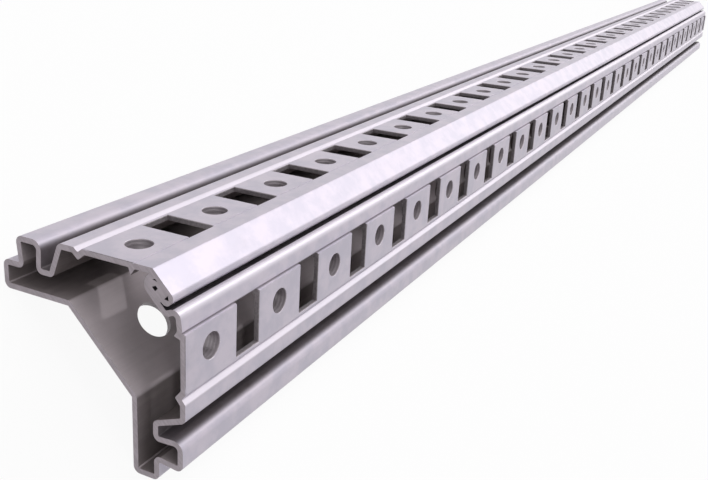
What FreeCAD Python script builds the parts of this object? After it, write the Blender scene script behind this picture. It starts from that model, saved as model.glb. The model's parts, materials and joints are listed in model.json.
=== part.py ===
import FreeCAD, Part
import os

import Sketcher

# Enclosure mounting rail: one length of roll-formed galvanised sheet.
# It stands on its two tips with the seam at the top. X runs along the rail, Z is up,
# and the origin is on the floor at the middle of the rail.
# The two perforated faces stand at 45 degrees. Their outer planes would meet in a line
# above the seam, the crest line. An arm's section is measured from there: its first
# number runs down along the face, its second is the depth below the face.

NODE = "rail"

DRIVING = [
    # The stock
    ("rail_length", 754.0, "length of the cut piece"),
    ("gauge", 1.2, "thickness of the sheet"),
    ("bend", 0.3, "radius inside the bends"),
    # One arm along its face, step by step from the seam out to the tip
    ("lip_edge", 10.6, "where the lip beside the seam ends"),
    ("crown_lip_drop", 0.12, "depth of the lip that the flat top turns down from"),
    ("bead_lip_drop", 0.78, "depth of the lip beside the bead"),
    ("crease_margin", 0.8, "from the lip's end to the crease"),
    ("crease_slope", 0.1, "seam side of the crease, along the face"),
    ("crease_width", 0.25, "width of the crease"),
    ("crease_depth", 0.25, "depth of the crease below the lip"),
    ("pleat_slope", 1.0, "seam side of the pleat behind the crease, along the face"),
    ("pleat_width", 1.5, "width of the pleat"),
    ("pleat_depth", 2.65, "depth of the pleat's tip below the face"),
    ("band_width", 12.2, "perforated band, from the crease to the V groove"),
    ("groove_slope", 1.2, "band side of the V groove, along the face"),
    ("groove_return", 1.05, "ridge side of the V groove, along the face"),
    ("groove_depth", 1.0, "depth of the V groove"),
    ("groove_round", 0.35, "radius outside the V groove's bends"),
    ("ridge_drop", 0.15, "depth of the ridge's flat"),
    ("ridge_width", 3.9, "width of the ridge's flat"),
    ("channel_slope", 2.5, "ridge side of the channel, along the face"),
    ("channel_floor", 2.25, "width of the channel's floor"),
    ("channel_depth", 6.6, "depth of the channel"),
    ("rib_lean", 0.35, "how far the rib's wall leans over the channel"),
    ("rib_width", 6.75, "width of the outer rib"),
    ("rib_drop", 0.8, "depth of the outer rib's flat"),
    ("rib_round", 2.2, "radius outside the bend from the channel to the rib"),
    ("rib_overhang", 0.65, "how far the rib's outer wall leans out over the shelf"),
    ("shelf_width", 4.3, "width of the shelf beyond the rib"),
    ("shelf_depth", 6.5, "depth of the shelf"),
    ("tip_height", 6.3, "height of the tip's face"),
    ("base_drop", 28.92, "underside of the base below the crest line"),
    # The seam, with widths from the middle and depths below the crest line
    ("crown_drop", 5.26, "flat top of the hem"),
    ("crown_round", 0.5, "radius between the lip and the flat top"),
    ("nose_reach", 2.15, "rounded nose of the hem"),
    ("nose_round", 1.25, "radius of the nose"),
    ("nose_height", 3.09, "height of the nose"),
    ("gap_root", 0.6, "inner end of the gap under the nose"),
    ("gap_height", 0.25, "height of that gap"),
    ("gap_width", 0.27, "from the nose to the foot of the bead"),
    ("bead_lean", 1.15, "from the foot of the bead out to its peak, before it is rounded"),
    ("bead_height", 3.1, "height of that peak above the flange"),
    ("bead_round", 1.8, "radius over the bead"),
    ("hem_reach", 4.8, "outside of the fold under the hem"),
    ("hem_flat", 0.6, "flat between that fold and the lip"),
    ("fold_void_side", 1.6, "void in the middle of the hem, its place across"),
    ("fold_void_width", 1.0, "void in the middle of the hem, its width"),
    ("fold_void_height", 0.9, "void in the middle of the hem, its height"),
    ("fold_void_rise", 0.6, "void in the middle of the hem, its height above the flange"),
    ("nose_void_width", 0.83, "void in the nose, its width"),
    ("nose_void_height", 1.22, "void in the nose, its height"),
    ("nose_void_cover", 0.85, "metal above the void in the nose"),
    ("sliver_side", 2.6, "narrow void under the lip, its place across"),
    ("sliver_width", 1.0, "narrow void under the lip, its width"),
    ("sliver_height", 0.6, "narrow void under the lip, its height"),
    ("sliver_cover", 0.99, "metal above the narrow void"),
    ("void_lean", 0.7, "how far over a void's slanting side starts, as a share of its width"),
    # The punching, the same on both faces
    ("pitch", 25.0, "from one hole of a row to the next"),
    ("first_hole", 8.15, "first hole, from the near end"),
    ("end_margin", 8.0, "least metal from the last slot's middle to the far end"),
    ("hole_line", 17.0, "line of the round holes, from the crest line"),
    ("hole_bore", 5.5, "diameter of the round holes"),
    ("slot_step", 12.7, "from a hole to the slot after it"),
    ("slot_length", 8.2, "slot, along the rail"),
    ("slot_seat", 0.05, "how far into the crease a slot starts"),
    ("slot_margin", 0.6, "from a slot to the V groove"),
    ("punch_margin", 1.4, "how far a punch goes past the pleat"),
    # The hole for a fastener in the base, at each end
    ("base_hole", 8.0, "diameter of the base hole"),
    ("base_hole_inset", 15.5, "base hole, from the end of the rail"),
]

DERIVED = [
    ("half_length", "=rail_length / 2", "from the middle to an end"),
    ("bend_outside", "=bend + gauge", "radius outside the bends"),
    ("rib_round_inside", "=rib_round - gauge", "radius inside the bend to the rib"),
    ("crease_near", "=lip_edge + crease_margin", "crease, its seam side"),
    ("crease_root", "=crease_near + crease_slope", "bottom of the crease"),
    ("crease_far", "=crease_near + crease_width", "crease, its band side"),
    ("pleat_tip", "=crease_near + pleat_slope", "tip of the pleat"),
    ("pleat_far", "=crease_near + pleat_width", "pleat behind the crease, its band side"),
    ("groove_near", "=crease_far + band_width", "V groove, its band side"),
    ("groove_root", "=groove_near + groove_slope", "bottom of the V groove"),
    ("groove_far", "=groove_root + groove_return", "V groove, its ridge side"),
    ("ridge_edge", "=groove_far + ridge_width", "ridge, its channel side"),
    ("channel_near", "=ridge_edge + channel_slope", "channel's floor, its ridge side"),
    ("channel_far", "=channel_near + channel_floor", "channel's floor, its rib side"),
    ("rib_near", "=channel_far - rib_lean", "outer rib, its channel side"),
    ("rib_far", "=rib_near + rib_width", "outer rib, its shelf side"),
    ("shelf_root", "=rib_far - rib_overhang", "shelf, its rib side"),
    ("tip_reach", "=shelf_root + shelf_width", "face of the tip"),
    ("tip_depth", "=shelf_depth + tip_height", "underside of the tip"),
    ("crest_height", "=(tip_reach + tip_depth - 2 * bend_outside) / sqrt(2) + bend_outside",
     "crest line above the floor, with the rounded tips on the floor"),
    ("base_corner", "=base_drop * sqrt(2) - tip_depth", "where the tip's underside meets the base"),
    ("base_middle", "=base_drop / sqrt(2)", "middle of the base, as an arm measures it"),
    ("base_middle_back", "=(base_drop - gauge) / sqrt(2)", "the same on the inner face"),
    ("crown_lip_back", "=crown_lip_drop + gauge", "depth of the crown lip's inner face"),
    ("crown_lip_root", "=crown_lip_drop + crease_depth", "bottom of the crease beside it"),
    ("crown_lip_side", "=(lip_edge - crown_lip_drop) / sqrt(2)", "its end, across"),
    ("crown_lip_level", "=(lip_edge + crown_lip_drop) / sqrt(2)", "its end, depth"),
    ("crown_lip_back_side", "=(lip_edge - crown_lip_back) / sqrt(2)", "its inner end, across"),
    ("crown_lip_back_level", "=(lip_edge + crown_lip_back) / sqrt(2)", "its inner end, depth"),
    ("bead_lip_back", "=bead_lip_drop + gauge", "depth of the bead lip's inner face"),
    ("bead_lip_root", "=bead_lip_drop + crease_depth", "bottom of the crease beside it"),
    ("bead_lip_side", "=(lip_edge - bead_lip_drop) / sqrt(2)", "its end, across"),
    ("bead_lip_level", "=(lip_edge + bead_lip_drop) / sqrt(2)", "its end, depth"),
    ("bead_lip_back_side", "=(lip_edge - bead_lip_back) / sqrt(2)", "its inner end, across"),
    ("bead_lip_back_level", "=(lip_edge + bead_lip_back) / sqrt(2)", "its inner end, depth"),
    ("crown_side", "=crown_drop - crown_lip_drop * sqrt(2)", "where the lip meets the flat top"),
    ("nose_foot", "=crown_drop + nose_height", "underside of the nose"),
    ("flange_drop", "=nose_foot + gap_height", "flange under the nose, its upper face"),
    ("flange_back", "=flange_drop + gauge", "flange under the nose, its lower face"),
    ("bead_foot", "=nose_reach + gap_width", "foot of the bead beside the nose"),
    ("bead_peak", "=bead_foot + bead_lean", "peak of the bead, across"),
    ("bead_drop", "=flange_drop - bead_height", "peak of the bead, depth"),
    ("bead_round_inside", "=bead_round - gauge", "radius under the bead"),
    ("hem_meet", "=hem_reach + crown_lip_back * sqrt(2)", "where the fold meets the lip's inner face"),
    ("hem_round", "=flange_back - hem_meet - hem_flat", "radius of that fold"),
    ("fold_void_foot", "=flange_drop - fold_void_rise", "void in the hem, its lower corners"),
    ("fold_void_top", "=fold_void_foot - fold_void_height", "void in the hem, its upper corners"),
    ("fold_void_far", "=fold_void_side + fold_void_width", "void in the hem, its lower outer corner"),
    ("fold_void_shoulder", "=fold_void_side + fold_void_width * void_lean", "its upper outer corner"),
    ("nose_void_side", "=gap_root + nose_void_width", "void in the nose, its outer corner"),
    ("nose_void_top", "=crown_drop + nose_void_cover", "void in the nose, its upper corner"),
    ("nose_void_foot", "=nose_void_top + nose_void_height", "void in the nose, its lower corner"),
    ("nose_void_level", "=(nose_void_top + nose_void_foot) / 2", "depth of its outer corner"),
    ("sliver_far", "=sliver_side + sliver_width", "narrow void, its outer corner"),
    ("sliver_peak", "=sliver_side + sliver_width * void_lean", "narrow void, its middle corner"),
    ("sliver_top", "=crown_drop + sliver_cover", "narrow void, its upper corners"),
    ("sliver_foot", "=sliver_top + sliver_height", "narrow void, its lower corner"),
    ("hole_count", "=floor((rail_length - first_hole - slot_step - end_margin) / pitch) + 1",
     "holes in each row"),
    ("row_length", "=pitch * (hole_count - 1)", "from the first hole to the last"),
    ("hole_start", "=half_length - first_hole", "first hole, from the middle"),
    ("slot_start", "=hole_start - slot_step + slot_length / 2", "near edge of the first slot"),
    ("slot_stop", "=slot_start - slot_length", "far edge of the first slot"),
    ("slot_near", "=crease_near + slot_seat", "slot, its edge in the crease"),
    ("slot_far", "=groove_near - slot_margin", "slot, its edge beside the V groove"),
    ("punch_depth", "=pleat_depth + punch_margin", "how deep a punch reaches below the face"),
    ("base_plane", "=crest_height - base_drop + 2 * gauge", "level that the base is punched from"),
    ("base_punch", "=3 * gauge", "depth of that punching"),
    ("base_hole_place", "=half_length - base_hole_inset", "base hole, from the middle"),
]

# An arm's outer face, from the pleat to the tip and back to the middle of the base
ARM_FACE = [
    ("pleat_far", "0"),
    ("groove_near", "0"),
    ("groove_root", "-groove_depth"),
    ("groove_far", "-ridge_drop"),
    ("ridge_edge", "-ridge_drop"),
    ("channel_near", "-channel_depth"),
    ("channel_far", "-channel_depth"),
    ("rib_near", "-rib_drop"),
    ("rib_far", "-rib_drop"),
    ("shelf_root", "-shelf_depth"),
    ("tip_reach", "-shelf_depth"),
    ("tip_reach", "-tip_depth"),
    ("base_corner", "-tip_depth"),
    ("base_middle", "-base_middle"),
]
ARM_BACK_START = ("pleat_far", "-gauge")
ARM_BACK_END = ("base_middle_back", "-base_middle_back")
# Corners of the outer face that have a radius of their own
GROOVE_BENDS = [1, 2, 3]
RIB_BEND = 7

# The crease and the pleat behind it, beside the flat top and beside the bead. In the second
# sketch the other face's depths run the other way.
CROWN_PLEAT = [
    ("lip_edge", "-crown_lip_drop"),
    ("crease_near", "-crown_lip_drop"),
    ("crease_root", "-crown_lip_root"),
    ("crease_far", "0"),
    ("pleat_far", "0"),
    ("pleat_far", "-gauge"),
    ("pleat_tip", "-pleat_depth"),
    ("crease_near", "-crown_lip_back"),
    ("lip_edge", "-crown_lip_back"),
]
BEAD_PLEAT = [
    ("lip_edge", "bead_lip_drop"),
    ("crease_near", "bead_lip_drop"),
    ("crease_root", "bead_lip_root"),
    ("crease_far", "0"),
    ("pleat_far", "0"),
    ("pleat_far", "gauge"),
    ("pleat_tip", "pleat_depth"),
    ("crease_near", "bead_lip_back"),
    ("lip_edge", "bead_lip_back"),
]

# The seam: the hem's flat top and nose, the gap, the flange, the bead and back inside
SEAM_FACE = [
    ("crown_lip_side", "-crown_lip_level"),
    ("crown_side", "-crown_drop"),
    ("-nose_reach", "-crown_drop"),
    ("-nose_reach", "-nose_foot"),
    ("-gap_root", "-nose_foot"),
    ("-gap_root", "-flange_drop"),
    ("-bead_foot", "-flange_drop"),
    ("-bead_peak", "-bead_drop"),
    ("-bead_lip_side", "-bead_lip_level"),
    ("-bead_lip_back_side", "-bead_lip_back_level"),
]
# Its corners at the flat top's edge and round the nose
CROWN_LINE = 1
NOSE_LINES = [2, 3]
SEAM_BACK = [
    ("hem_reach", "-flange_back"),
    ("hem_reach", "-hem_meet"),
    ("crown_lip_back_side", "-crown_lip_back_level"),
]
NOSE_VOID = [
    ("-gap_root", "-nose_void_top"),
    ("-nose_void_side", "-nose_void_level"),
    ("-gap_root", "-nose_void_foot"),
]
FOLD_VOID = [
    ("fold_void_side", "-fold_void_top"),
    ("fold_void_side", "-fold_void_foot"),
    ("fold_void_far", "-fold_void_foot"),
    ("fold_void_shoulder", "-fold_void_top"),
]
SLIVER_VOID = [
    ("sliver_side", "-sliver_top"),
    ("sliver_far", "-sliver_foot"),
    ("sliver_peak", "-sliver_top"),
]


# Sizes
def fill_sheet(doc):
    """Put the sizes in a spreadsheet, each under a name of its own."""
    table = doc.addObject("Spreadsheet::Sheet", "Sizes")
    for row, (name, value, note) in enumerate(DRIVING + DERIVED, start=1):
        table.set(f"A{row}", name)
        table.set(f"B{row}", str(value))
        table.set(f"C{row}", note)
        table.setAlias(f"B{row}", name)
    doc.recompute()
    return table


def cell(name):
    """Expression for a cell named in an outline, where "-" before it turns its sign."""
    if name.startswith("-"):
        return f"-Sizes.{name[1:]}"
    return f"Sizes.{name}"


def number(table, name):
    """Value of a cell named in an outline, with its sign, and 0 for "0"."""
    if name == "0":
        return 0.0
    if name.startswith("-"):
        return -float(getattr(table, name[1:]))
    return float(getattr(table, name))


def spot(table, pair):
    """Point of a sketch at a pair of named sizes."""
    return FreeCAD.Vector(number(table, pair[0]), number(table, pair[1]), 0)


# Sketches
def plane(body, role):
    """The body's own origin plane of this role."""
    return next(item for item in body.Origin.OriginFeatures if item.Role == role)


def new_sketch(body, name, role, turn=None, base=None):
    """A sketch on an origin plane, turned and moved by expressions on its attachment."""
    sketch = body.newObject("Sketcher::SketchObject", name)
    sketch.AttachmentSupport = [(plane(body, role), "")]
    sketch.MapMode = "FlatFace"
    if turn is not None:
        sketch.AttachmentOffset = FreeCAD.Placement(FreeCAD.Vector(), turn)
    for axis, expression in (base or {}).items():
        sketch.setExpression(f"AttachmentOffset.Base.{axis}", expression)
    return sketch


def pin(sketch, table, line, end, pair):
    """Hold a line's end at a pair of named sizes from the sketch's origin."""
    for kind, name, axis in (("DistanceX", pair[0], -2), ("DistanceY", pair[1], -1)):
        if name == "0":
            sketch.addConstraint(Sketcher.Constraint("PointOnObject", line, end, axis))
        else:
            rule = Sketcher.Constraint(kind, -1, 1, line, end, number(table, name))
            sketch.setExpression(f"Constraints[{sketch.addConstraint(rule)}]", cell(name))


def closed_outline(sketch, points):
    """Join the points by lines, end to end, and give the number of the first line."""
    following = points[1:] + points[:1]
    lines = [Part.LineSegment(start, stop) for start, stop in zip(points, following)]
    first = sketch.addGeometry(lines, False)[0]
    last = first + len(points) - 1
    for line in range(first, last):
        sketch.addConstraint(Sketcher.Constraint("Coincident", line, 2, line + 1, 1))
    sketch.addConstraint(Sketcher.Constraint("Coincident", last, 2, first, 1))
    return first


def pinned_outline(sketch, table, pairs):
    """A closed outline with every corner held at its named sizes."""
    first = closed_outline(sketch, [spot(table, pair) for pair in pairs])
    for step, pair in enumerate(pairs):
        pin(sketch, table, first + step, 1, pair)
    return first


def round_hole(sketch, table, pair, bore):
    """A circle at a pair of named sizes, with its diameter from another one."""
    width = number(table, bore)
    circle = Part.Circle(spot(table, pair), FreeCAD.Vector(0, 0, 1), width / 2)
    curve = sketch.addGeometry(circle, False)
    pin(sketch, table, curve, 3, pair)
    rule = sketch.addConstraint(Sketcher.Constraint("Diameter", curve, width))
    sketch.setExpression(f"Constraints[{rule}]", cell(bore))


def miter(before, corner, after, depth):
    """Point behind a corner where lines at this depth to the right of its two sides meet."""
    into = (corner - before).normalize()
    out = (after - corner).normalize()
    halfway = FreeCAD.Vector(into.y + out.y, -into.x - out.x, 0)
    return corner + halfway * (depth / (1 + into.dot(out)))


def rises(before, corner, after):
    """True where an outline turns to its left at the corner."""
    return (corner - before).cross(after - corner).z > 0


def hold_behind(sketch, table, inner, outer):
    """Keep an inner line one sheet behind an outer one, through the inner line's start."""
    sketch.addConstraint(Sketcher.Constraint("Parallel", inner, outer))
    gap = Sketcher.Constraint("Distance", inner, 1, outer, table.gauge)
    sketch.setExpression(f"Constraints[{sketch.addConstraint(gap)}]", "Sizes.gauge")


# Features
def pad_along_rail(body, name, sketch):
    """Extrude a section over the whole length of the rail."""
    pad = body.newObject("PartDesign::Pad", name)
    pad.Profile = sketch
    pad.setExpression("Length", "Sizes.rail_length")
    return pad


def punch(body, name, sketch, depth):
    """Cut a sketch downwards into the sheet below it."""
    pocket = body.newObject("PartDesign::Pocket", name)
    pocket.Profile = sketch
    pocket.setExpression("Length", depth)
    return pocket


def edges_at(shape, corners):
    """Names of the straight edges along the rail that pass through these corners."""
    names = []
    for count, edge in enumerate(shape.Edges, start=1):
        start, stop = edge.Vertexes[0].Point, edge.Vertexes[-1].Point
        along = abs(stop.x - start.x)
        if along < 1 or edge.Length > along * 1.0001:
            continue
        flat = FreeCAD.Vector(0, start.y, start.z)
        if any(flat.isEqual(FreeCAD.Vector(0, corner.y, corner.z), 0.001) for corner in corners):
            names.append(f"Edge{count}")
    return names


def round_bends(body, name, base, sketch, lines, radius):
    """Round the edges that a pad made from the starts of these lines of its sketch."""
    corners = [sketch.Placement.multVec(sketch.getPoint(line, 1)) for line in lines]
    edges = edges_at(base.Shape, corners)
    if len(edges) != len(lines):
        raise RuntimeError(f"{name}: found {len(edges)} of {len(lines)} edges")
    fillet = body.newObject("PartDesign::Fillet", name)
    fillet.Base = (base, edges)
    fillet.setExpression("Radius", radius)
    return fillet


def round_folds(doc, body, feature, sketch, folds):
    """Round each of the named folds in turn."""
    for name, lines, radius in folds:
        feature = round_bends(body, name, feature, sketch, lines, radius)
        doc.recompute()
    return feature


# One arm: the perforated band, groove, ridge, channel, outer rib, shelf, tip and half the base
def build_arm(doc, body, table):
    """Pad one arm and round its bends."""
    turn = FreeCAD.Rotation(FreeCAD.Vector(0, 0, 1), -45)
    sketch = new_sketch(body, "ArmSection", "YZ_Plane", turn,
                        {"y": "Sizes.crest_height", "z": "-Sizes.half_length"})
    face = [spot(table, pair) for pair in ARM_FACE]
    bends = range(1, len(face) - 1)
    behind = [miter(face[step - 1], face[step], face[step + 1], table.gauge) for step in bends]
    back = [spot(table, ARM_BACK_START)] + behind + [spot(table, ARM_BACK_END)]
    closed_outline(sketch, face + back[::-1])
    for step, pair in enumerate(ARM_FACE):
        pin(sketch, table, step, 1, pair)
    total = len(face) + len(back)
    pin(sketch, table, total - 1, 1, ARM_BACK_START)
    pin(sketch, table, len(face), 1, ARM_BACK_END)
    # The inner lines run from the base back to the pleat, each behind an outer line
    outer_lines = range(len(face) - 2, -1, -1)
    inner_lines = range(len(face), total - 1)
    for step in (0, -1):
        sketch.addConstraint(Sketcher.Constraint("Parallel", inner_lines[step], outer_lines[step]))
    for inner, outer in zip(inner_lines[1:-1], outer_lines[1:-1]):
        hold_behind(sketch, table, inner, outer)
    doc.recompute()
    pad = pad_along_rail(body, "ArmPad", sketch)
    doc.recompute()

    inside, outside, groove_outside = [], [], []
    for step in bends:
        if step == RIB_BEND:
            continue
        opposite = total - 1 - step
        left_turn = rises(face[step - 1], face[step], face[step + 1])
        inside.append(step if left_turn else opposite)
        wide = groove_outside if step in GROOVE_BENDS else outside
        wide.append(opposite if left_turn else step)
    folds = [
        ("BendInsides", inside, "Sizes.bend"),
        ("BendOutsides", outside, "Sizes.bend_outside"),
        ("GrooveOutsides", groove_outside, "Sizes.groove_round"),
        ("RibInside", [total - 1 - RIB_BEND], "Sizes.rib_round_inside"),
        ("RibOutside", [RIB_BEND], "Sizes.rib_round"),
    ]
    return round_folds(doc, body, pad, sketch, folds)


def mirror_arm(doc, body):
    """Add the other arm as the mirror image of the first."""
    mirror = body.newObject("PartDesign::Mirrored", "OtherArm")
    mirror.TransformMode = "Whole shape"
    mirror.MirrorPlane = (plane(body, "XZ_Plane"), [""])
    body.Tip = mirror
    doc.recompute()
    return mirror


# The seam at the top, where one edge of the sheet is hemmed over the other
def build_pleats(doc, body, table):
    """Pad the crease and pleat between each band and its lip."""
    for name, outline, angle in (("Crown", CROWN_PLEAT, -45), ("Bead", BEAD_PLEAT, -135)):
        turn = FreeCAD.Rotation(FreeCAD.Vector(0, 0, 1), angle)
        sketch = new_sketch(body, f"{name}PleatSection", "YZ_Plane", turn,
                            {"y": "Sizes.crest_height", "z": "-Sizes.half_length"})
        pinned_outline(sketch, table, outline)
        doc.recompute()
        pad_along_rail(body, f"{name}PleatPad", sketch)
        doc.recompute()


def build_seam(doc, body, table):
    """Pad the seam between the two lips and round its folds."""
    sketch = new_sketch(body, "SeamSection", "YZ_Plane", None,
                        {"y": "Sizes.crest_height", "z": "-Sizes.half_length"})
    face = [spot(table, pair) for pair in SEAM_FACE]
    back = [spot(table, pair) for pair in SEAM_BACK]
    foot, peak, lip, lip_back = face[-4:]
    under_peak = miter(foot, peak, lip, -table.gauge)
    under_foot = miter(face[-5], foot, peak, -table.gauge)
    closed_outline(sketch, face + [under_peak, under_foot] + back)
    for step, pair in enumerate(SEAM_FACE):
        pin(sketch, table, step, 1, pair)
    lip_back_line = len(face) - 1
    wall_line = lip_back_line + 1
    flange_line = wall_line + 1
    for step, pair in enumerate(SEAM_BACK, start=flange_line + 1):
        pin(sketch, table, step, 1, pair)
    bead_wall, bead_side = len(face) - 4, len(face) - 3
    sketch.addConstraint(Sketcher.Constraint("Parallel", lip_back_line, bead_side))
    hold_behind(sketch, table, wall_line, bead_wall)
    sketch.addConstraint(Sketcher.Constraint("Horizontal", flange_line))
    for void in (NOSE_VOID, FOLD_VOID, SLIVER_VOID):
        pinned_outline(sketch, table, void)
    doc.recompute()
    pad = pad_along_rail(body, "SeamPad", sketch)
    doc.recompute()
    folds = [
        ("CrownBend", [CROWN_LINE], "Sizes.crown_round"),
        ("FlangeBend", [flange_line], "Sizes.bend_outside"),
        ("NoseFold", NOSE_LINES, "Sizes.nose_round"),
        ("BeadFoot", [bead_wall], "Sizes.bend"),
        ("BeadTop", [bead_side], "Sizes.bead_round"),
        ("BeadHollow", [wall_line], "Sizes.bead_round_inside"),
        ("HemFold", [flange_line + 1], "Sizes.hem_round"),
    ]
    return round_folds(doc, body, pad, sketch, folds)


# The two holes for fasteners in the base
def build_base_holes(doc, body, table):
    """Punch the wall between the tips near each end."""
    feature = body.Tip
    for name, side in (("NearBaseHole", "-base_hole_place"), ("FarBaseHole", "base_hole_place")):
        sketch = new_sketch(body, name, "XY_Plane", None, {"z": "Sizes.base_plane"})
        round_hole(sketch, table, (side, "0"), "base_hole")
        feature = punch(body, f"{name}Cut", sketch, "Sizes.base_punch")
        doc.recompute()
    return feature


# The same row of round holes and slots in both faces
def build_punching(doc, body, table):
    """Punch the row of round holes and slots in both faces."""
    turn = FreeCAD.Rotation(FreeCAD.Vector(1, 0, 0), -45)
    sketch = new_sketch(body, "PunchedPair", "XY_Plane", turn, {"z": "Sizes.crest_height"})
    round_hole(sketch, table, ("-hole_start", "hole_line"), "hole_bore")
    pinned_outline(sketch, table, [
        ("-slot_start", "slot_near"),
        ("-slot_stop", "slot_near"),
        ("-slot_stop", "slot_far"),
        ("-slot_start", "slot_far"),
    ])
    pocket = punch(body, "PunchedPairCut", sketch, "Sizes.punch_depth")
    doc.recompute()
    row = doc.addObject("PartDesign::LinearPattern", "PunchedRow")
    row.Direction = (sketch, ["H_Axis"])
    row.setExpression("Length", "Sizes.row_length")
    row.setExpression("Occurrences", "Sizes.hole_count")
    other_face = doc.addObject("PartDesign::Mirrored", "OtherFace")
    other_face.MirrorPlane = (plane(body, "XZ_Plane"), [""])
    rows = body.newObject("PartDesign::MultiTransform", "PunchedRows")
    rows.Originals = [pocket]
    rows.Transformations = [row, other_face]
    body.Tip = rows
    doc.recompute()
    return rows


# Tests
def check(doc, body, stages):
    """Stop if a feature failed, a cut removed nothing or the rail isn't one sound solid."""
    failed = [item.Name for item in doc.Objects if {"Invalid", "Error"} & set(item.State)]
    if failed:
        raise RuntimeError(f"failed features: {failed}")
    for name, before, after, grows in stages:
        if (after > before) != grows:
            raise RuntimeError(f"{name} changed the volume from {before:.1f} to {after:.1f}")
    shape = body.Shape
    if shape.isNull() or not shape.isValid() or len(shape.Solids) != 1:
        raise RuntimeError("the rail isn't one valid solid")


def main():
    """Build the rail, test it and write its file."""
    doc = FreeCAD.newDocument("EnclosureMountingRail")
    table = fill_sheet(doc)
    body = doc.addObject("PartDesign::Body", "Rail")
    body.Label = NODE
    arm = build_arm(doc, body, table)
    both = mirror_arm(doc, body)
    build_pleats(doc, body, table)
    seam = build_seam(doc, body, table)
    holed = build_base_holes(doc, body, table)
    finished = build_punching(doc, body, table)
    stages = [
        ("mirroring", arm.Shape.Volume, both.Shape.Volume, True),
        ("seam", both.Shape.Volume, seam.Shape.Volume, True),
        ("base holes", seam.Shape.Volume, holed.Shape.Volume, False),
        ("punching", holed.Shape.Volume, finished.Shape.Volume, False),
    ]
    body.Placement = FreeCAD.Placement()
    doc.recompute()
    check(doc, body, stages)
    os.makedirs("parts", exist_ok=True)
    body.Shape.exportStep(f"parts/{NODE}.step")
    box = body.Shape.BoundBox
    print(f"{NODE}: {box.XLength:.2f} x {box.YLength:.2f} x {box.ZLength:.2f} mm, "
          f"lowest {box.ZMin:.3f}, volume {body.Shape.Volume:.0f} mm3")


main()
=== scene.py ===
"""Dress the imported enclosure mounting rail: zinc-coated sheet with sawn ends and punched rows."""

import json
import logging
import math
from dataclasses import dataclass, field
from enum import Enum
from typing import Optional, Sequence, Union

import bpy
from mathutils import Euler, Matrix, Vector


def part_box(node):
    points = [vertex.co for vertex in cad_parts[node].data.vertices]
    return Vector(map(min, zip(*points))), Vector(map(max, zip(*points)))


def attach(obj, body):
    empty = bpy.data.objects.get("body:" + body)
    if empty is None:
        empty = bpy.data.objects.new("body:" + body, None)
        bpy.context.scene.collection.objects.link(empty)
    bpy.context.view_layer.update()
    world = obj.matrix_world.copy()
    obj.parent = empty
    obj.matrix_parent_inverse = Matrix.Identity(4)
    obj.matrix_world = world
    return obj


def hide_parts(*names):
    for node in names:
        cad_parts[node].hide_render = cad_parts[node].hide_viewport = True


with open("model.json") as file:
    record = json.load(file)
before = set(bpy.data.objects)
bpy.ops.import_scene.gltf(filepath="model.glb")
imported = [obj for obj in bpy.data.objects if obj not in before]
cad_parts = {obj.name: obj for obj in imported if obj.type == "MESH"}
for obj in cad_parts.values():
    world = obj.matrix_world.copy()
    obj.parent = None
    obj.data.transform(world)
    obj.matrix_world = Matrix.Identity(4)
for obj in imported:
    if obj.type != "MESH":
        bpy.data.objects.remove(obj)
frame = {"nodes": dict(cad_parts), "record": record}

LOG = logging.getLogger("rail")
MM = 0.001
RAIL_NODE = "rail"
HALF_ROOT = math.sqrt(0.5)

Number = Union[int, float]
Colour = Sequence[float]
WHITE: Colour = (1.0, 1.0, 1.0)


class Finish(Enum):
    """Material slots of the rail's piece."""

    ZINC = 0
    SAWN = 1
    SLOT_WALL = 2
    HOLE_WALL = 3
    INSIDE = 4
    SEAM = 5
    RIM = 6


class Signal:
    """A shader socket that takes part in arithmetic."""

    def __init__(self, paint: "Paint", socket: bpy.types.NodeSocket) -> None:
        """Wrap a socket of a paint's node tree."""
        self.paint = paint
        self.socket = socket

    def _with(self, operation: str, first: "Operand", second: "Operand") -> "Signal":
        """Give the result of a Math node on two operands."""
        node = self.paint.node("ShaderNodeMath", {"operation": operation}, {0: first, 1: second})
        return Signal(self.paint, node.outputs[0])

    def __add__(self, other: "Operand") -> "Signal":
        """Sum."""
        return self._with("ADD", self, other)

    def __radd__(self, other: "Operand") -> "Signal":
        """Sum with a number on the left."""
        return self._with("ADD", other, self)

    def __sub__(self, other: "Operand") -> "Signal":
        """Difference."""
        return self._with("SUBTRACT", self, other)

    def __rsub__(self, other: "Operand") -> "Signal":
        """Difference from a number on the left."""
        return self._with("SUBTRACT", other, self)

    def __mul__(self, other: "Operand") -> "Signal":
        """Product."""
        return self._with("MULTIPLY", self, other)

    def __rmul__(self, other: "Operand") -> "Signal":
        """Product with a number on the left."""
        return self._with("MULTIPLY", other, self)

    def size(self) -> "Signal":
        """Value without its sign."""
        return self._with("ABSOLUTE", self, 0.0)

    def larger(self, other: "Operand") -> "Signal":
        """The larger of two values."""
        return self._with("MAXIMUM", self, other)

    def wave(self, period: float) -> "Signal":
        """Sine from -1 to 1 that repeats at this period."""
        return self._with("SINE", self * (math.tau / period), 0.0)

    def between(self, low: float, high: float) -> "Signal":
        """Rise smoothly from 0 at the low value to 1 at the high one."""
        node = self.paint.node(
            "ShaderNodeMapRange",
            {"interpolation_type": "SMOOTHSTEP"},
            {"Value": self, "From Min": low, "From Max": high},
        )
        return Signal(self.paint, node.outputs["Result"])


Operand = Union[Signal, Number]
Input = Union[Signal, bpy.types.NodeSocket, Number, Colour]


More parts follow.
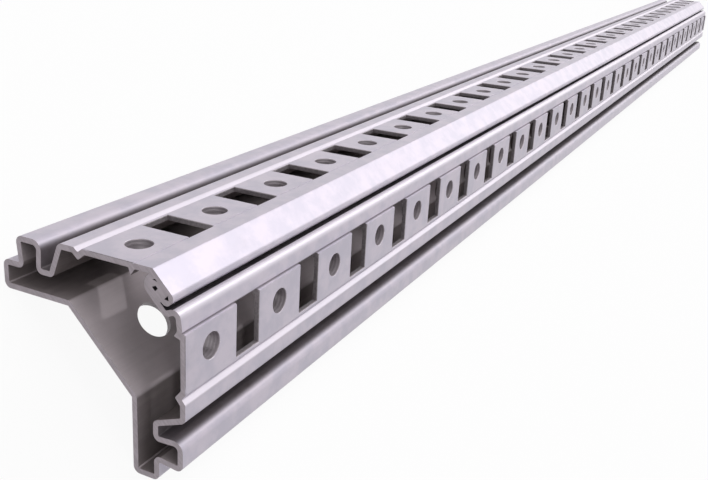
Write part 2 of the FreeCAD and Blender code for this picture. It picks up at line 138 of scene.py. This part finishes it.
class Paint:
    """The node tree of one material or of the world."""

    def __init__(self, owner: Union[bpy.types.Material, bpy.types.World]) -> None:
        """Start an empty node tree in its owner."""
        self.owner = owner
        owner.use_nodes = True
        self.tree = owner.node_tree
        self.tree.nodes.clear()
        coordinates = self.node("ShaderNodeTexCoord").outputs
        self.place, self.facing = coordinates["Object"], coordinates["Normal"]
        self.direction = coordinates["Generated"]

    @classmethod
    def on_material(cls, name: str) -> "Paint":
        """Start a new material under this name."""
        return cls(bpy.data.materials.new(name))

    def node(
        self,
        kind: str,
        settings: Optional[dict] = None,
        inputs: Optional[dict[Union[str, int], Input]] = None,
    ) -> bpy.types.Node:
        """Add a node.

        Args:
            kind: the node's type.
            settings: its properties, set before its sockets.
            inputs: values or links for its sockets, by name or number.

        Returns:
            The node.
        """
        made = self.tree.nodes.new(kind)
        for name, value in (settings or {}).items():
            setattr(made, name, value)
        for key, value in (inputs or {}).items():
            socket = made.inputs[key]
            if isinstance(value, Signal):
                value = value.socket
            if isinstance(value, bpy.types.NodeSocket):
                self.tree.links.new(value, socket)
            elif isinstance(value, (int, float)):
                socket.default_value = value
            else:
                opaque = (1.0,) if socket.type == "RGBA" else ()
                socket.default_value = tuple(value) + opaque
        return made

    def axes(self, vector: bpy.types.NodeSocket) -> tuple[Signal, Signal, Signal]:
        """Split a vector into its three parts."""
        parts = self.node("ShaderNodeSeparateXYZ", inputs={0: vector}).outputs
        return tuple(Signal(self, part) for part in parts)

    def stretched(self, scale: tuple[float, float, float]) -> bpy.types.NodeSocket:
        """Object coordinates scaled along each axis."""
        inputs = {"Vector": self.place, "Scale": scale}
        return self.node("ShaderNodeMapping", {"vector_type": "POINT"}, inputs).outputs["Vector"]

    def noise(
        self,
        scale: float,
        detail: float = 3.0,
        roughness: float = 0.5,
        vector: Optional[bpy.types.NodeSocket] = None,
    ) -> Signal:
        """Cloudy pattern from 0 to 1.

        Args:
            scale: clouds in a metre.
            detail: octaves.
            roughness: strength of the finer octaves.
            vector: coordinates, or None for the plain object ones.

        Returns:
            The pattern.
        """
        inputs = {
            "Vector": vector or self.place,
            "Scale": scale,
            "Detail": detail,
            "Roughness": roughness,
        }
        node = self.node("ShaderNodeTexNoise", {"noise_dimensions": "3D"}, inputs)
        return Signal(self, node.outputs["Fac"])

    def lay(self, mask: Operand, under: Input, over: Input) -> bpy.types.NodeSocket:
        """Lay one colour over another.

        Args:
            mask: 0 where the under colour shows and 1 where the over colour does.
            under: the colour below.
            over: the colour above.

        Returns:
            The colour's socket.
        """
        node = self.node("ShaderNodeMix", {"data_type": "RGBA"}, {0: mask, 6: under, 7: over})
        return node.outputs[2]

    def across_face(self, crest: float) -> tuple[Signal, Signal]:
        """Measure a place as the source's sections do, from the line where the faces would meet.

        Args:
            crest: height of that line.

        Returns:
            The distance down along the face, and the depth below the face.
        """
        _, side, level = self.axes(self.place)
        from_middle = side.size()
        return (from_middle + crest - level) * HALF_ROOT, (crest - level - from_middle) * HALF_ROOT

    def background_seen(self) -> Signal:
        """Mask of the rays that show the background: of the camera, of gloss and through glass."""
        rays = self.node("ShaderNodeLightPath").outputs
        camera, glossy, through = (
            Signal(self, rays[name])
            for name in ("Is Camera Ray", "Is Glossy Ray", "Is Transmission Ray")
        )
        return camera.larger(glossy).larger(through)

    def bumps(self, height: Signal, depth: float, strength: float) -> bpy.types.NodeSocket:
        """Normal of a surface with this height pattern, whose full range is the depth in metres."""
        inputs = {"Height": height, "Distance": depth, "Strength": strength}
        return self.node("ShaderNodeBump", inputs=inputs).outputs["Normal"]

    def finish(
        self,
        colour: Input,
        roughness: Input,
        normal: bpy.types.NodeSocket,
        metallic: Input = 0.0,
        specular: float = 0.5,
    ) -> bpy.types.Material:
        """Join everything to the surface.

        Args:
            colour: base colour.
            roughness: roughness.
            normal: bumped normal.
            metallic: share of bare metal.
            specular: level of the shine, the same all over.

        Returns:
            The material.
        """
        inputs = {
            "Base Color": colour,
            "Roughness": roughness,
            "Normal": normal,
            "Metallic": metallic,
            "Specular IOR Level": specular,
        }
        shader = self.node("ShaderNodeBsdfPrincipled", inputs=inputs)
        self.node("ShaderNodeOutputMaterial", inputs={"Surface": shader.outputs[0]})
        return self.owner


@dataclass(frozen=True)
class ZincCoat:
    """Rolled zinc, cloudy and faintly drawn, with painted shade in the channels and the crease by
    the bead, and painted highlights on the V grooves and the bead's shoulder.

    The places of its strips are distances down along the face, and their depths lie below it.
    """

    crest: float
    name: str = "zinc_coat"
    pale: Colour = (0.64, 0.585, 0.665)
    dull: Colour = (0.55, 0.515, 0.60)
    stain: Colour = (0.46, 0.425, 0.475)
    painted_shade_tone: Colour = (0.085, 0.07, 0.075)
    paler_painted_tone: Colour = (0.72, 0.67, 0.74)
    metallic: float = 0.38
    roughness: float = 0.42
    cloud_scale: float = 150.0
    fine_scale: float = 900.0
    smudge_scale: float = 45.0
    smudge_share: float = 0.35
    streak_scale: float = 1400.0
    streak_stretch: float = 0.035
    relief: float = 0.03 * MM
    channel_sides: tuple[float, float] = (29.6 * MM, 37.4 * MM)
    channel_depths: tuple[float, float] = (0.95 * MM, 2.7 * MM)
    groove_sides: tuple[float, float] = (25.05 * MM, 26.5 * MM)
    crease_sides: tuple[float, float] = (11.15 * MM, 11.75 * MM)
    crease_depths: tuple[float, float] = (0.3 * MM, 0.7 * MM)
    crease_share: float = 0.6
    bead_sides: tuple[float, float] = (6.2 * MM, 9.2 * MM)
    bead_start: tuple[float, float] = (2.6 * MM, 3.0 * MM)

    def material(self) -> bpy.types.Material:
        """Build the zinc's material."""
        paint = Paint.on_material(self.name)
        clouds = paint.noise(self.cloud_scale, detail=4.0, roughness=0.6)
        fine = paint.noise(self.fine_scale, detail=2.0)
        drawn = paint.stretched((self.streak_stretch, 1.0, 1.0))
        streaks = paint.noise(self.streak_scale, roughness=0.65, vector=drawn)
        colour = paint.lay(clouds.between(0.36, 0.64), self.dull, self.pale)
        smudges = paint.noise(self.smudge_scale, detail=5.0, roughness=0.7)
        colour = paint.lay(smudges.between(0.58, 0.8) * self.smudge_share, colour, self.stain)
        down, below = paint.across_face(self.crest)
        _, side, _ = paint.axes(paint.place)
        # Painted highlight: a paler colour on the V grooves and the bead's shoulder.
        painted_highlight = self.painted_highlight(down, side) * (0.7 + clouds * 0.3)
        colour = paint.lay(painted_highlight, colour, self.paler_painted_tone)
        # Painted shade: a near-black colour that deepens into the channels and the crease; it also
        # makes them rougher and less metallic.
        painted_shade = self.painted_shade(down, below) * (0.78 + clouds * 0.3)
        colour = paint.lay(painted_shade, colour, self.painted_shade_tone)
        roughness = self.roughness + (clouds - 0.5) * 0.12 + (streaks - 0.5) * 0.10 + painted_shade * 0.2
        metallic = self.metallic * (1.0 - painted_shade)
        normal = paint.bumps(streaks * 0.6 + fine * 0.4, self.relief, 0.5)
        return paint.finish(colour, roughness, normal, metallic)

    @staticmethod
    def strip(across: Signal, sides: tuple[float, float], rise: float, fall: float) -> Signal:
        """Mask of a strip between two places, with soft sides.

        Args:
            across: distance that the strip is measured on.
            sides: where the strip starts and ends.
            rise: width of its first soft side.
            fall: width of its second soft side.

        Returns:
            The mask.
        """
        near, far = sides
        return across.between(near, near + rise) * (1.0 - across.between(far - fall, far))

    def painted_highlight(self, down: Signal, side: Signal) -> Signal:
        """Mask of the painted highlight on the V grooves and on the bead's shoulder.

        Args:
            down: distance from the crest line along the face.
            side: place across the rail, where the bead's side is below 0.

        Returns:
            The mask.
        """
        groove = self.strip(down, self.groove_sides, 0.15 * MM, 0.4 * MM)
        bead = self.strip(down, self.bead_sides, 0.4 * MM, 1.2 * MM)
        return groove.larger(bead * (side * -1.0).between(*self.bead_start))

    def painted_shade(self, down: Signal, below: Signal) -> Signal:
        """Mask of the painted shade, which rises with the depth in the channels and fills the
        crease by the bead.

        Args:
            down: distance from the crest line along the face.
            below: depth below the face.

        Returns:
            The mask.
        """
        channel = self.strip(down, self.channel_sides, 0.5 * MM, 2.0 * MM)
        channel = channel * below.between(*self.channel_depths)
        crease = self.strip(down, self.crease_sides, 0.2 * MM, 0.1 * MM)
        crease = crease * below.between(*self.crease_depths) * self.crease_share
        return channel.larger(crease)


@dataclass(frozen=True)
class SawnSteel:
    """Bare steel of the sawn ends, with fine saw lines across."""

    name: str = "sawn_steel"
    bright: Colour = (0.49, 0.435, 0.475)
    dark: Colour = (0.39, 0.345, 0.375)
    metallic: float = 0.5
    roughness: float = 0.5
    line_scale: float = 2600.0
    line_stretch: float = 0.06
    cloud_scale: float = 420.0
    relief: float = 0.04 * MM

    def material(self) -> bpy.types.Material:
        """Build the sawn ends' material."""
        paint = Paint.on_material(self.name)
        across = paint.stretched((1.0, self.line_stretch, 1.0))
        lines = paint.noise(self.line_scale, detail=2.0, roughness=0.7, vector=across)
        clouds = paint.noise(self.cloud_scale)
        tone = lines * 0.6 + clouds * 0.4
        colour = paint.lay(tone.between(0.38, 0.62), self.dark, self.bright)
        roughness = self.roughness + (lines - 0.5) * 0.2
        normal = paint.bumps(lines, self.relief, 0.5)
        return paint.finish(colour, roughness, normal, self.metallic)


@dataclass(frozen=True)
class SlotWall:
    """Sheared metal in the walls of the slots and of the base's holes."""

    name: str = "slot_wall"
    sheared: Colour = (0.35, 0.315, 0.335)
    torn: Colour = (0.25, 0.225, 0.24)
    metallic: float = 0.5
    roughness: float = 0.42
    grain_scale: float = 1500.0
    relief: float = 0.03 * MM

    def material(self) -> bpy.types.Material:
        """Build the slot walls' material."""
        paint = Paint.on_material(self.name)
        grain = paint.noise(self.grain_scale, roughness=0.7)
        colour = paint.lay(grain.between(0.35, 0.65), self.torn, self.sheared)
        roughness = self.roughness + (grain - 0.5) * 0.2
        normal = paint.bumps(grain, self.relief, 0.4)
        return paint.finish(colour, roughness, normal, self.metallic)


@dataclass(frozen=True)
class HoleWall:
    """Cut thread in the round holes and their collars."""

    crest: float
    name: str = "hole_wall"
    crown: Colour = (0.42, 0.38, 0.41)
    root: Colour = (0.34, 0.31, 0.33)
    metallic: float = 0.5
    roughness: float = 0.42
    lead: float = 0.8 * MM
    relief: float = 0.06 * MM
    grain_scale: float = 1500.0

    def material(self) -> bpy.types.Material:
        """Build the hole walls' material, with ridges that follow the depth below the face."""
        paint = Paint.on_material(self.name)
        _, below = paint.across_face(self.crest)
        ridges = below.wave(self.lead) * 0.5 + 0.5
        grain = paint.noise(self.grain_scale, roughness=0.7)
        # The colour is darker at the roots of the ridges, as painted shade in the thread's grooves,
        # with random grain.
        tone = ridges * 0.7 + grain * 0.3
        colour = paint.lay(tone.between(0.2, 0.8), self.root, self.crown)
        roughness = self.roughness + (grain - 0.5) * 0.2
        normal = paint.bumps(ridges, self.relief, 0.6)
        return paint.finish(colour, roughness, normal, self.metallic)


@dataclass(frozen=True)
class PaintedRimHighlight:
    """Painted highlight round the mouths of the holes: a paler zinc colour on their rounded rims.
    """

    name: str = "burnished_rim"
    paler_painted_tone: Colour = (0.84, 0.8, 0.86)
    dull: Colour = (0.68, 0.64, 0.7)
    metallic: float = 0.5
    roughness: float = 0.28
    cloud_scale: float = 260.0
    grain_scale: float = 1800.0
    relief: float = 0.02 * MM

    def material(self) -> bpy.types.Material:
        """Build the rims' material."""
        paint = Paint.on_material(self.name)
        clouds = paint.noise(self.cloud_scale)
        # Painted highlight: the rims are paler than the zinc round them.
        colour = paint.lay(clouds.between(0.4, 0.6), self.dull, self.paler_painted_tone)
        roughness = self.roughness + (clouds - 0.5) * 0.15
        normal = paint.bumps(paint.noise(self.grain_scale), self.relief, 0.3)
        return paint.finish(colour, roughness, normal, self.metallic)


@dataclass(frozen=True)
class InnerSheet:
    """Darker copy of the zinc inside the section, as painted shade, with painted light on the faces
    that look up.
    """

    name: str = "inner_sheet"
    bloom: Colour = (0.28, 0.24, 0.24)
    bare: Colour = (0.20, 0.17, 0.17)
    painted_light_above: Colour = (0.76, 0.68, 0.715)
    specular: float = 0.2
    roughness: float = 0.65
    cloud_scale: float = 70.0
    streak_scale: float = 1100.0
    streak_stretch: float = 0.04
    relief: float = 0.03 * MM

    def material(self) -> bpy.types.Material:
        """Build the inner faces' material."""
        paint = Paint.on_material(self.name)
        clouds = paint.noise(self.cloud_scale, detail=5.0, roughness=0.65)
        drawn = paint.stretched((self.streak_stretch, 1.0, 1.0))
        streaks = paint.noise(self.streak_scale, roughness=0.6, vector=drawn)
        tone = clouds * 0.7 + streaks * 0.3
        # Painted shade: both inner tones are darker than the outer zinc, and vary between them at
        # random.
        colour = paint.lay(tone.between(0.38, 0.62), self.bare, self.bloom)
        # Painted light: faces that look up are paler, as if lit from above.
        _, _, up = paint.axes(paint.facing)
        painted_top_light = up.between(0.6, 0.98) * (0.55 + tone * 0.6)
        colour = paint.lay(painted_top_light, colour, self.painted_light_above)
        roughness = self.roughness + (streaks - 0.5) * 0.12
        normal = paint.bumps(streaks, self.relief, 0.4)
        return paint.finish(colour, roughness, normal, specular=self.specular)


@dataclass(frozen=True)
class SeamShade:
    """Painted shade in the gap of the seam and the voids of the hem: a near-black colour where the
    light does not reach.
    """

    name: str = "seam_shade"
    seam_shade_deep: Colour = (0.035, 0.03, 0.036)
    paler_painted_tone: Colour = (0.06, 0.052, 0.06)
    specular: float = 0.1
    roughness: float = 0.8
    cloud_scale: float = 300.0
    relief: float = 0.02 * MM

    def material(self) -> bpy.types.Material:
        """Build the gap's material."""
        paint = Paint.on_material(self.name)
        clouds = paint.noise(self.cloud_scale)
        # Painted shade: near-black, with faint random clouds.
        colour = paint.lay(clouds.between(0.4, 0.6), self.seam_shade_deep, self.paler_painted_tone)
        roughness = self.roughness + (clouds - 0.5) * 0.1
        normal = paint.bumps(clouds, self.relief, 0.3)
        return paint.finish(colour, roughness, normal, specular=self.specular)


@dataclass
class Punching:
    """The rows of round holes and slots, as each band has them, in metres.

    The crest is the height of the line where the outer planes of the two faces would meet.
    """

    crest: float
    gauge: float
    first: float
    last: float
    hole_line: float
    bore: float
    base_place: float
    base_bore: float
    pitch: float = 25.0 * MM
    slot_step: float = 12.7 * MM
    slot_length: float = 8.2 * MM
    slot_sides: tuple[float, float] = (11.4 * MM, 23.3 * MM)
    reach: float = 0.12 * MM

    @classmethod
    def from_record(cls, record: dict) -> "Punching":
        """Work out the places and bores of the holes from the record's mounts.

        Args:
            record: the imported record.

        Returns:
            The punching.
        """
        mounts = {mount["name"]: mount for mount in record["mounts"]}
        hole, base = mounts["left_face_hole_near_end"], mounts["base_hole_near_end"]
        first, side, level = hole["pos_m"]
        gauge = hole["dims"]["length_mm"] * MM
        crest = side + level + gauge * HALF_ROOT
        return cls(
            crest=crest,
            gauge=gauge,
            first=first,
            last=mounts["left_face_hole_far_end"]["pos_m"][0],
            hole_line=(side + crest - level) * HALF_ROOT,
            bore=hole["dims"]["r_mm"] * MM,
            base_place=abs(base["pos_m"][0]),
            base_bore=base["dims"]["r_mm"] * MM,
        )

    @property
    def count(self) -> int:
        """Number of round holes in one face."""
        return round((self.last - self.first) / self.pitch) + 1

    def offset(self, x: float, start: float) -> float:
        """Distance along the rail from the nearest of the places that begin at the start."""
        return abs((x - start + self.pitch / 2) % self.pitch - self.pitch / 2)

    def in_hole(self, place: Vector) -> bool:
        """Tell whether a place lies on the wall or rim of a round hole."""
        along = self.offset(place.x, self.first)
        return math.hypot(along, self.down(place) - self.hole_line) < self.bore + self.reach

    def in_slot(self, place: Vector) -> bool:
        """Tell whether a place lies on the wall or rim of a slot."""
        near, far = self.slot_sides
        along = self.offset(place.x, self.first + self.slot_step)
        in_length = along < self.slot_length / 2 + self.reach
        return in_length and near < self.down(place) < far + self.reach

    def in_base_hole(self, place: Vector) -> bool:
        """Tell whether a place lies on the wall of a hole in the base."""
        return math.hypot(abs(place.x) - self.base_place, place.y) < self.base_bore + self.reach

    def down(self, place: Vector) -> float:
        """Distance of a place from the crest line, down along its face."""
        return (abs(place.y) + self.crest - place.z) * HALF_ROOT


def outward(place: Vector) -> Vector:
    """Outward normal of the perforated face on a place's side."""
    return Vector((0.0, math.copysign(1.0, place.y), 1.0)).normalized()


def make_active(thing: bpy.types.Object) -> None:
    """Select one object alone and make it the active one."""
    bpy.ops.object.select_all(action="DESELECT")
    thing.select_set(True)
    bpy.context.view_layer.objects.active = thing


@dataclass
class Collars:
    """Drawn collars behind the round holes, in which a screw holds."""

    punching: Punching
    wall: float = 0.75 * MM
    reach: float = 2.2 * MM
    sides: int = 48
    end_round: float = 0.15 * MM

    def build(self) -> bpy.types.Object:
        """Make one collar, then repeat it along both faces."""
        rows = self.punching
        depth = rows.gauge + self.reach / 2
        side = (rows.hole_line - depth) * HALF_ROOT
        level = rows.crest - (rows.hole_line + depth) * HALF_ROOT
        bpy.ops.object.select_all(action="DESELECT")
        bpy.ops.mesh.primitive_cylinder_add(
            vertices=self.sides,
            radius=rows.bore + self.wall / 2,
            depth=self.reach,
            end_fill_type="NOTHING",
            location=(rows.first, side, level),
            rotation=(-math.pi / 4, 0.0, 0.0),
        )
        collar = bpy.context.active_object
        collar.name = "collars"
        bpy.ops.object.transform_apply(location=True, rotation=True, scale=True)
        wall = collar.modifiers.new("wall", "SOLIDIFY")
        wall.thickness = self.wall
        wall.offset = 0.0
        ends = collar.modifiers.new("ends", "BEVEL")
        ends.width = self.end_round
        ends.segments = 2
        ends.limit_method = "ANGLE"
        row = collar.modifiers.new("row", "ARRAY")
        row.use_relative_offset = False
        row.use_constant_offset = True
        row.constant_offset_displace = (rows.pitch, 0.0, 0.0)
        row.count = rows.count
        other = collar.modifiers.new("other_face", "MIRROR")
        other.use_axis = (False, True, False)
        other.use_mirror_merge = False
        for modifier in (wall, ends, row, other):
            bpy.ops.object.modifier_apply(modifier=modifier.name)
        return collar


@dataclass
class RailSheet:
    """The roll-formed sheet, dressed for close views.

    A match is the cosine between a face's normal and the band's, where a kind of face begins.
    """

    node: bpy.types.Object
    punching: Punching
    weld: float = 0.001 * MM
    smooth_angle: float = math.radians(25.0)
    sharp_angle: float = math.radians(60.0)
    rim_round: float = 0.22 * MM
    end_inset: float = 0.02 * MM
    band_match: float = 0.99
    rim_match: float = 0.97
    cut_match: float = 0.5
    seam_sides: tuple[float, float] = (-3.2 * MM, -0.3 * MM)
    seam_levels: tuple[float, float] = (31.5 * MM, 33.0 * MM)
    void_sides: tuple[float, float] = (-1.6 * MM, 3.8 * MM)
    void_foot: float = 31.9 * MM
    piece: Optional[bpy.types.Object] = field(default=None, init=False)

    def build(self) -> bpy.types.Object:
        """Copy the sheet, round its cut edges and smooth its bends."""
        piece = self.node.copy()
        piece.data = self.node.data.copy()
        piece.name = "rail_sheet"
        bpy.context.scene.collection.objects.link(piece)
        make_active(piece)
        bpy.ops.mesh.customdata_custom_splitnormals_clear()
        bpy.ops.object.mode_set(mode="EDIT")
        bpy.ops.mesh.select_mode(type="EDGE")
        bpy.ops.mesh.select_all(action="SELECT")
        bpy.ops.mesh.remove_doubles(threshold=self.weld)
        bpy.ops.mesh.select_all(action="DESELECT")
        bpy.ops.object.mode_set(mode="OBJECT")
        self.piece = piece
        self.choose_rims()
        bpy.ops.object.mode_set(mode="EDIT")
        bpy.ops.mesh.bevel(offset=self.rim_round, segments=2, affect="EDGES", clamp_overlap=False)
        bpy.ops.object.mode_set(mode="OBJECT")
        collars = Collars(self.punching).build()
        make_active(piece)
        collars.select_set(True)
        bpy.ops.object.join()
        bpy.ops.object.shade_smooth_by_angle(angle=self.smooth_angle)
        weigh = piece.modifiers.new("even_normals", "WEIGHTED_NORMAL")
        weigh.keep_sharp = True
        bpy.ops.object.modifier_apply(modifier=weigh.name)
        LOG.info("rail sheet: %d faces", len(piece.data.polygons))
        return piece

    def choose_rims(self) -> None:
        """Select the outer rims of the holes and slots."""
        mesh = self.piece.data
        normals: dict[tuple[int, int], list[Vector]] = {}
        for face in mesh.polygons:
            for key in face.edge_keys:
                normals.setdefault(key, []).append(face.normal)
        for edge in mesh.edges:
            ends = [mesh.vertices[number].co for number in edge.vertices]
            middle = (ends[0] + ends[1]) / 2
            pair = normals[edge.key]
            if len(pair) != 2 or pair[0].angle(pair[1]) < self.sharp_angle:
                continue
            on_band = max(normal.dot(outward(middle)) for normal in pair) > self.band_match
            punched = self.punching.in_hole(middle) or self.punching.in_slot(middle)
            edge.select = on_band and punched

    def dress(self, finishes: dict[Finish, bpy.types.Material]) -> None:
        """Give each face its finish by its place.

        Args:
            finishes: the material for every slot.
        """
        mesh = self.piece.data
        mesh.materials.clear()
        for finish in Finish:
            mesh.materials.append(finishes[finish])
        low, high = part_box(RAIL_NODE)
        end = (high.x - low.x) / 2 - self.end_inset
        chosen = [self.cut_finish(face, end) for face in mesh.polygons]
        outside = self.outer_faces(chosen)
        # Inside faces get darker zinc as painted shade, the hem's voids and the seam's gap
        # near-black painted shade, and the hole rims a painted highlight.
        for face, cut in zip(mesh.polygons, chosen):
            if cut is not None:
                finish = cut
            elif face.index not in outside:
                finish = Finish.SEAM if self.in_void(face.center) else Finish.INSIDE
            elif self.in_seam(face.center):
                finish = Finish.SEAM
            elif self.is_rim(face):
                finish = Finish.RIM
            else:
                finish = Finish.ZINC
            face.material_index = finish.value

    def cut_finish(self, face: bpy.types.MeshPolygon, end: float) -> Optional[Finish]:
        """Name the finish of a sawn or punched face.

        Args:
            face: the face.
            end: distance from the middle, past which the face is a sawn one.

        Returns:
            The finish, or None for a rolled face.
        """
        if abs(face.center.x) > end and abs(face.normal.x) > self.cut_match:
            return Finish.SAWN
        if self.punching.in_base_hole(face.center) and abs(face.normal.z) < self.cut_match:
            return Finish.SLOT_WALL
        if abs(face.normal.dot(outward(face.center))) > self.cut_match:
            return None
        if self.punching.in_hole(face.center):
            return Finish.HOLE_WALL
        return Finish.SLOT_WALL if self.punching.in_slot(face.center) else None

    def outer_faces(self, chosen: list[Optional[Finish]]) -> set[int]:
        """Spread over the rolled faces from the flat top of the hem, up to the cut ones.

        Args:
            chosen: the finish of each cut face and None for each rolled one.

        Returns:
            Numbers of the faces on the outside.
        """
        mesh = self.piece.data
        beside: dict[tuple[int, int], list[int]] = {}
        for face in mesh.polygons:
            for key in face.edge_keys:
                beside.setdefault(key, []).append(face.index)
        front = [max(mesh.polygons, key=lambda face: face.center.z).index]
        reached = set(front)
        while front:
            face = mesh.polygons[front.pop()]
            for key in face.edge_keys:
                for other in beside[key]:
                    if other not in reached and chosen[other] is None:
                        reached.add(other)
                        front.append(other)
        return reached

    def is_rim(self, face: bpy.types.MeshPolygon) -> bool:
        """Tell whether a face belongs to the rounded mouth of a hole."""
        turned = face.normal.dot(outward(face.center)) < self.rim_match
        return turned and self.punching.in_hole(face.center)

    def in_void(self, place: Vector) -> bool:
        """Tell whether a hidden place lies in one of the hem's voids."""
        near, far = self.void_sides
        return near < place.y < far and place.z > self.void_foot

    def in_seam(self, place: Vector) -> bool:
        """Tell whether a place lies in the gap between the nose and the bead."""
        near, far = self.seam_sides
        low, high = self.seam_levels
        return near < place.y < far and low < place.z < high


@dataclass(frozen=True)
class Lamp:
    """A rectangular lamp that faces the rail."""

    name: str
    place: tuple[float, float, float]
    size: tuple[float, float]
    power: float
    colour: Colour = WHITE

    def hang(self, target: Vector) -> None:
        """Put the lamp in the scene and turn it to the target."""
        light = bpy.data.lights.new(self.name, "AREA")
        light.shape = "RECTANGLE"
        light.size, light.size_y = self.size
        light.energy = self.power
        light.color = self.colour
        holder = bpy.data.objects.new(self.name, light)
        holder.location = self.place
        aim = target - Vector(self.place)
        holder.rotation_euler = aim.to_track_quat("-Z", "Y").to_euler()
        holder.visible_camera = False
        bpy.context.scene.collection.objects.link(holder)


@dataclass
class Studio:
    """White room: floor, backdrop light and lamps."""

    floor_size: float = 30.0
    floor_tone: Colour = (0.9, 0.9, 0.9)
    floor_bounce: Colour = (0.3, 0.29, 0.3)
    floor_shadow: float = 0.07
    low_fill: float = 0.1
    high_fill: float = 0.45
    lamps: tuple[Lamp, ...] = (
        Lamp("key", (0.76, 0.26, 1.62), (0.07, 0.07), 5.5),
        Lamp("top_box", (-0.3, 0.25, 1.2), (1.0, 0.6), 5.8, (1.0, 0.975, 0.99)),
        Lamp("far_box", (1.35, 0.08, 1.0), (0.7, 1.1), 4.2),
        Lamp("side_box", (-0.3, -1.3, 0.2), (1.4, 0.3), 0.45, (0.8, 0.85, 1.0)),
        Lamp("front_box", (-1.3, -0.05, 1.1), (0.9, 0.6), 1.5, (1.0, 0.985, 0.98)),
    )
    target: Vector = field(default_factory=lambda: Vector((0.0, 0.0, 0.02)))

    def build(self) -> None:
        """Set the floor, the lamps and the world."""
        self.lay_floor()
        for lamp in self.lamps:
            lamp.hang(self.target)
        self.light_world()

    def lay_floor(self) -> None:
        """Lay a pale floor that shows white and keeps part of the rail's shadow."""
        bpy.ops.object.select_all(action="DESELECT")
        bpy.ops.mesh.primitive_plane_add(size=self.floor_size, location=(0.0, 0.0, 0.0))
        floor = bpy.context.active_object
        floor.name = "floor"
        paint = Paint.on_material("pale_floor")
        seen = paint.background_seen()
        tone = paint.lay(seen, self.floor_bounce, self.floor_tone)
        matt = paint.node("ShaderNodeBsdfDiffuse", inputs={"Color": tone})
        white = paint.node("ShaderNodeEmission", inputs={"Color": WHITE, "Strength": 1.0})
        share = seen * (1.0 - self.floor_shadow)
        mix = paint.node(
            "ShaderNodeMixShader", inputs={0: share, 1: matt.outputs[0], 2: white.outputs[0]}
        )
        paint.node("ShaderNodeOutputMaterial", inputs={"Surface": mix.outputs[0]})
        floor.data.materials.append(paint.owner)

    def light_world(self) -> None:
        """Make the world white where it is seen and soft where it lights, more so from above."""
        world = bpy.data.worlds.new("white_room")
        bpy.context.scene.world = world
        paint = Paint(world)
        seen = paint.background_seen()
        _, _, height = paint.axes(paint.direction)
        light = self.low_fill + height.between(0.0, 1.0) * (self.high_fill - self.low_fill)
        inputs = {"Color": WHITE, "Strength": seen + (1.0 - seen) * light}
        background = paint.node("ShaderNodeBackground", inputs=inputs)
        paint.node("ShaderNodeOutputWorld", inputs={"Surface": background.outputs[0]})


@dataclass
class PhotoCamera:
    """The camera at the photograph's place, close to the near end, with its turn in degrees."""

    near_gap: float = 121.64 * MM
    side: float = -19.70 * MM
    height: float = 149.44 * MM
    turn: tuple[float, float, float] = (45.7129, -41.4539, -52.0300)
    lens: float = 46.551
    sensor: float = 36.0
    shift: tuple[float, float] = (0.01523, -0.03925)
    view_depths: tuple[float, float] = (1.0 * MM, 100.0)

    def build(self) -> None:
        """Create the camera and make it the scene's own."""
        low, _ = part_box(RAIL_NODE)
        data = bpy.data.cameras.new("photo_camera")
        data.sensor_width = self.sensor
        data.sensor_fit = "HORIZONTAL"
        data.lens = self.lens
        data.shift_x, data.shift_y = self.shift
        data.clip_start, data.clip_end = self.view_depths
        camera = bpy.data.objects.new("photo_camera", data)
        camera.location = (low.x - self.near_gap, self.side, self.height)
        camera.rotation_euler = Euler([math.radians(angle) for angle in self.turn], "XYZ")
        bpy.context.scene.collection.objects.link(camera)
        bpy.context.scene.camera = camera


def main() -> None:
    """Dress the rail, light it and place the camera."""
    logging.basicConfig(level=logging.INFO, format="%(name)s: %(message)s")
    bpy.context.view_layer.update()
    bpy.context.scene.view_settings.view_transform = "Standard"
    PhotoCamera().build()
    Studio().build()
    punching = Punching.from_record(frame["record"])
    rail = RailSheet(frame["nodes"][RAIL_NODE], punching)
    piece = rail.build()
    rail.dress({
        Finish.ZINC: ZincCoat(punching.crest).material(),
        Finish.SAWN: SawnSteel().material(),
        Finish.SLOT_WALL: SlotWall().material(),
        Finish.HOLE_WALL: HoleWall(punching.crest).material(),
        Finish.INSIDE: InnerSheet().material(),
        Finish.SEAM: SeamShade().material(),
        Finish.RIM: PaintedRimHighlight().material(),
    })
    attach(piece, "root")
    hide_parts(RAIL_NODE)
    LOG.info("dressed %s", piece.name)


if __name__ == "__main__":
    main()
